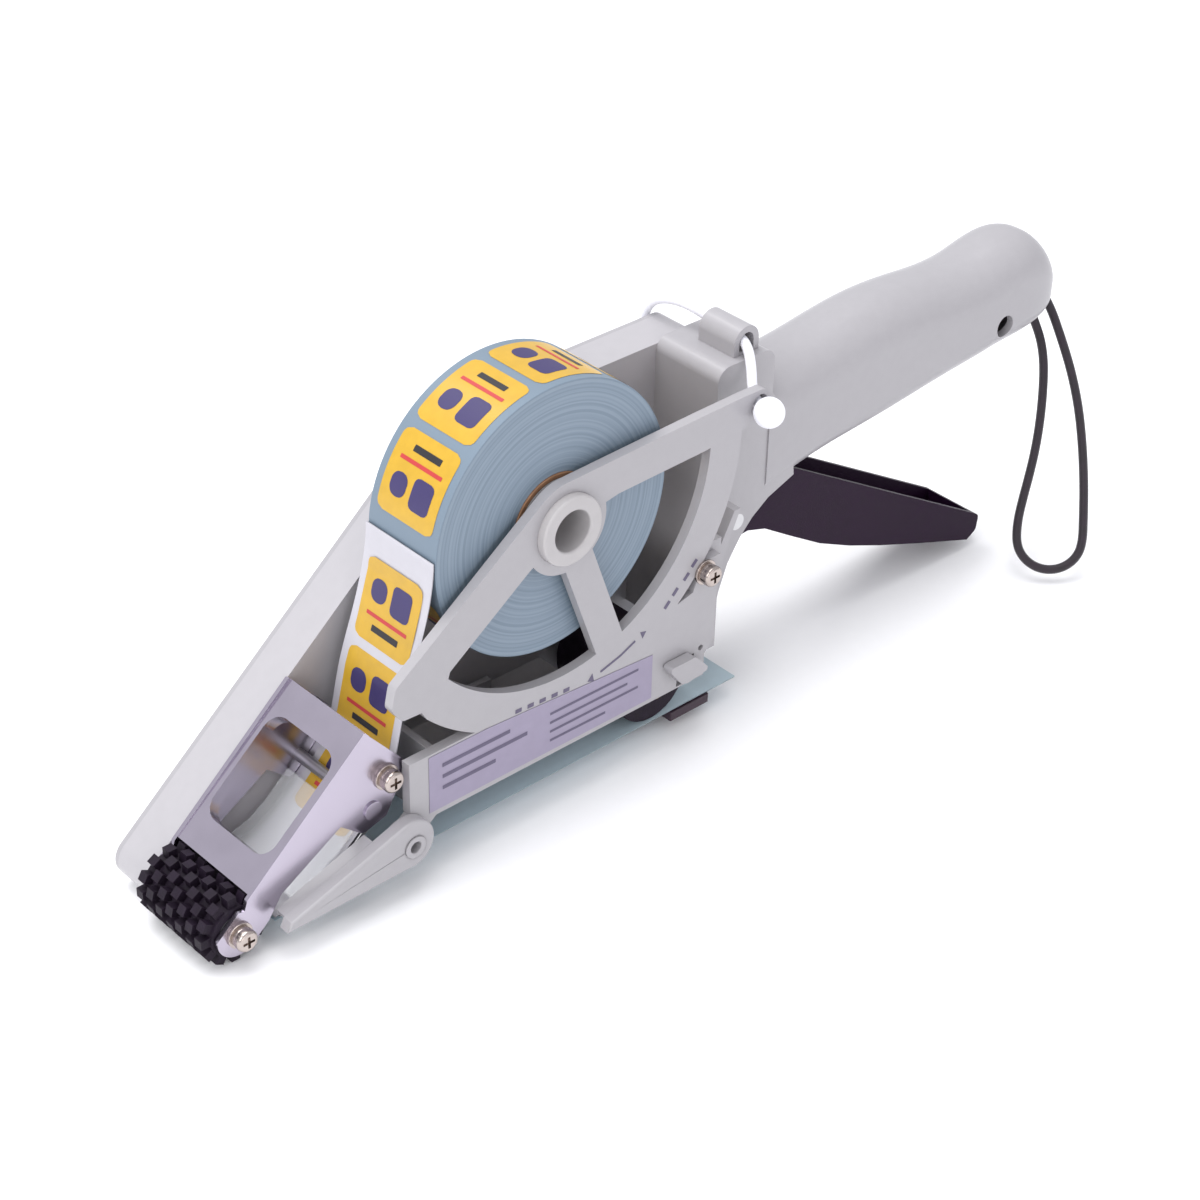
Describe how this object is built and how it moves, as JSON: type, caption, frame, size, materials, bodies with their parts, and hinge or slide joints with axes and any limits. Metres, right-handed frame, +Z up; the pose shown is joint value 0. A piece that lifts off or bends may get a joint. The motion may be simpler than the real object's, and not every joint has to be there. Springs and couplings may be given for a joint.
{
  "type": "label applicator",
  "caption": "Hand-held trigger-operated label applicator: label roll on a spoked carrier, gear-driven feed, peel edge, knobbed press roller, hollow handle and wrist strap.",
  "frame": {"origin": "centre of the tool's bounding box on the level of the press roller's lowest point, cords left out", "axes": "+X from the press roller to the handle, +Y towards the gear housing, +Z up"},
  "size_m": [0.3297, 0.078, 0.1281],
  "materials": {
    "body_plastic": "satin moulded plastic",
    "screw_chrome": "polished",
    "bracket_chrome": "bright plated sheet",
    "axle_steel": "turned",
    "black_rubber": "moulded nubs",
    "dark_plastic": "moulded",
    "clear_plastic": "clear sheet",
    "label_paper": "coated paper with yellow labels",
    "liner_paper": "pale blue glassine edge",
    "core_board": "wound board",
    "hub_plastic": "satin moulded plastic",
    "knob_plastic": "ribbed moulding",
    "felt": "felt",
    "trigger_plastic": "moulded, dark purple-black",
    "spring_steel": "wire",
    "gear_plastic": "acetal",
    "bush_brass": "turned",
    "dark_metal": "black",
    "sticker_paper": "printed foil sticker",
    "strap_cord": "braided cord",
    "tether_fibre": "braided white cord"
  },
  "bodies": {
    "root": {"main_frame": "body_plastic", "mechanism_cover": "body_plastic", "cover_screws": "screw_chrome", "side_plate": "body_plastic", "base_deck": "body_plastic", "pan_screws": "screw_chrome", "flat_washers": "screw_chrome", "lock_washers": "screw_chrome", "handle_near_shell": "body_plastic", "handle_far_shell": "body_plastic", "tether_lug": "body_plastic", "roller_bracket": "bracket_chrome", "guide_rods": "axle_steel", "rod_rivet": "bracket_chrome", "roller_axle": "axle_steel", "gate_pin": "body_plastic", "label_guide": "clear_plastic", "peel_plate": "axle_steel", "label_web": "label_paper", "liner_strip": "liner_paper", "brake_washer": "felt", "trigger_pin": "axle_steel", "trigger_spring": "spring_steel", "idler_pin": "axle_steel", "feed_bushings": "bush_brass", "pinch_arm_pin": "axle_steel", "pinch_spring": "spring_steel", "notice_sticker": "sticker_paper", "wrist_strap": "strap_cord", "tether_cord": "tether_fibre", "tether_knot": "tether_fibre"},
    "roller": {"press_roller": "black_rubber", "roller_sleeve": "dark_plastic"},
    "gate": {"front_gate": "body_plastic"},
    "trigger": {"trigger": "trigger_plastic", "drive_sector": "gear_plastic"},
    "idler": {"idler_gear": "gear_plastic"},
    "feed": {"feed_pinion": "gear_plastic", "feed_shaft": "dark_plastic", "feed_roller": "black_rubber"},
    "pinch": {"pinch_arm": "body_plastic", "foot_bar": "dark_metal", "pinch_axle": "axle_steel"},
    "pinch_wheel": {"pinch_roller": "black_rubber"},
    "reel": {"label_roll": "liner_paper", "roll_core": "core_board", "reel_spool": "hub_plastic"},
    "tether_collar": {"tether_ring": "knob_plastic", "tether_end_knot": "tether_fibre"},
    "reel_key": {"reel_pin": "hub_plastic", "reel_knob": "knob_plastic"}
  },
  "joints": [
    {"name": "trigger_squeeze", "type": "hinge", "parent": "root", "child": "trigger", "pos_m": [0.0241, -0.0009, 0.0544], "axis": [0, -1, 0], "range_deg": [0, 24], "stiffness_Nm_per_rad": 0.35, "springref_deg": -20.05},
    {"name": "idler_turn", "type": "hinge", "parent": "root", "child": "idler", "pos_m": [-0.00789, 0.0171, 0.0321], "axis": [0, -1, 0], "continuous": true},
    {"name": "feed_turn", "type": "hinge", "parent": "root", "child": "feed", "pos_m": [-0.0129, 0.0076, 0.0201], "axis": [0, -1, 0], "continuous": true},
    {"name": "roll_turn", "type": "hinge", "parent": "root", "child": "reel", "pos_m": [-0.0508, -0.0068, 0.089], "axis": [0, -1, 0], "continuous": true},
    {"name": "pinch_release", "type": "hinge", "parent": "root", "child": "pinch", "pos_m": [-0.042, -0.0064, 0.0136], "axis": [0, 1, 0], "range_deg": [0, 3.5], "stiffness_Nm_per_rad": 0.6, "springref_deg": -11.46},
    {"name": "pinch_turn", "type": "hinge", "parent": "pinch", "child": "pinch_wheel", "pos_m": [-0.0129, -0.0064, 0.0036], "axis": [0, 1, 0], "continuous": true},
    {"name": "press_roller_turn", "type": "hinge", "parent": "root", "child": "roller", "pos_m": [-0.156, -0.0055, 0.01015], "axis": [0, 1, 0], "continuous": true},
    {"name": "gate_swing", "type": "hinge", "parent": "root", "child": "gate", "pos_m": [-0.1053, -0.0274, 0.0159], "axis": [0, -1, 0], "range_deg": [0, 80]},
    {"name": "reel_pin_draw", "type": "slide", "parent": "root", "child": "tether_collar", "axis": [0, 1, 0], "range_m": [0, 0.036]},
    {"name": "reel_pin_twist", "type": "hinge", "parent": "tether_collar", "child": "reel_key", "pos_m": [-0.0508, 0.0076, 0.089], "axis": [0, 1, 0], "range_deg": [0, 60]}
  ],
  "couplings": [
    {"joint": "idler_turn", "follows": "trigger_squeeze", "ratio": -5.5},
    {"joint": "feed_turn", "follows": "trigger_squeeze", "ratio": 4.7143},
    {"joint": "roll_turn", "follows": "trigger_squeeze", "ratio": 1.5394}
  ]
}
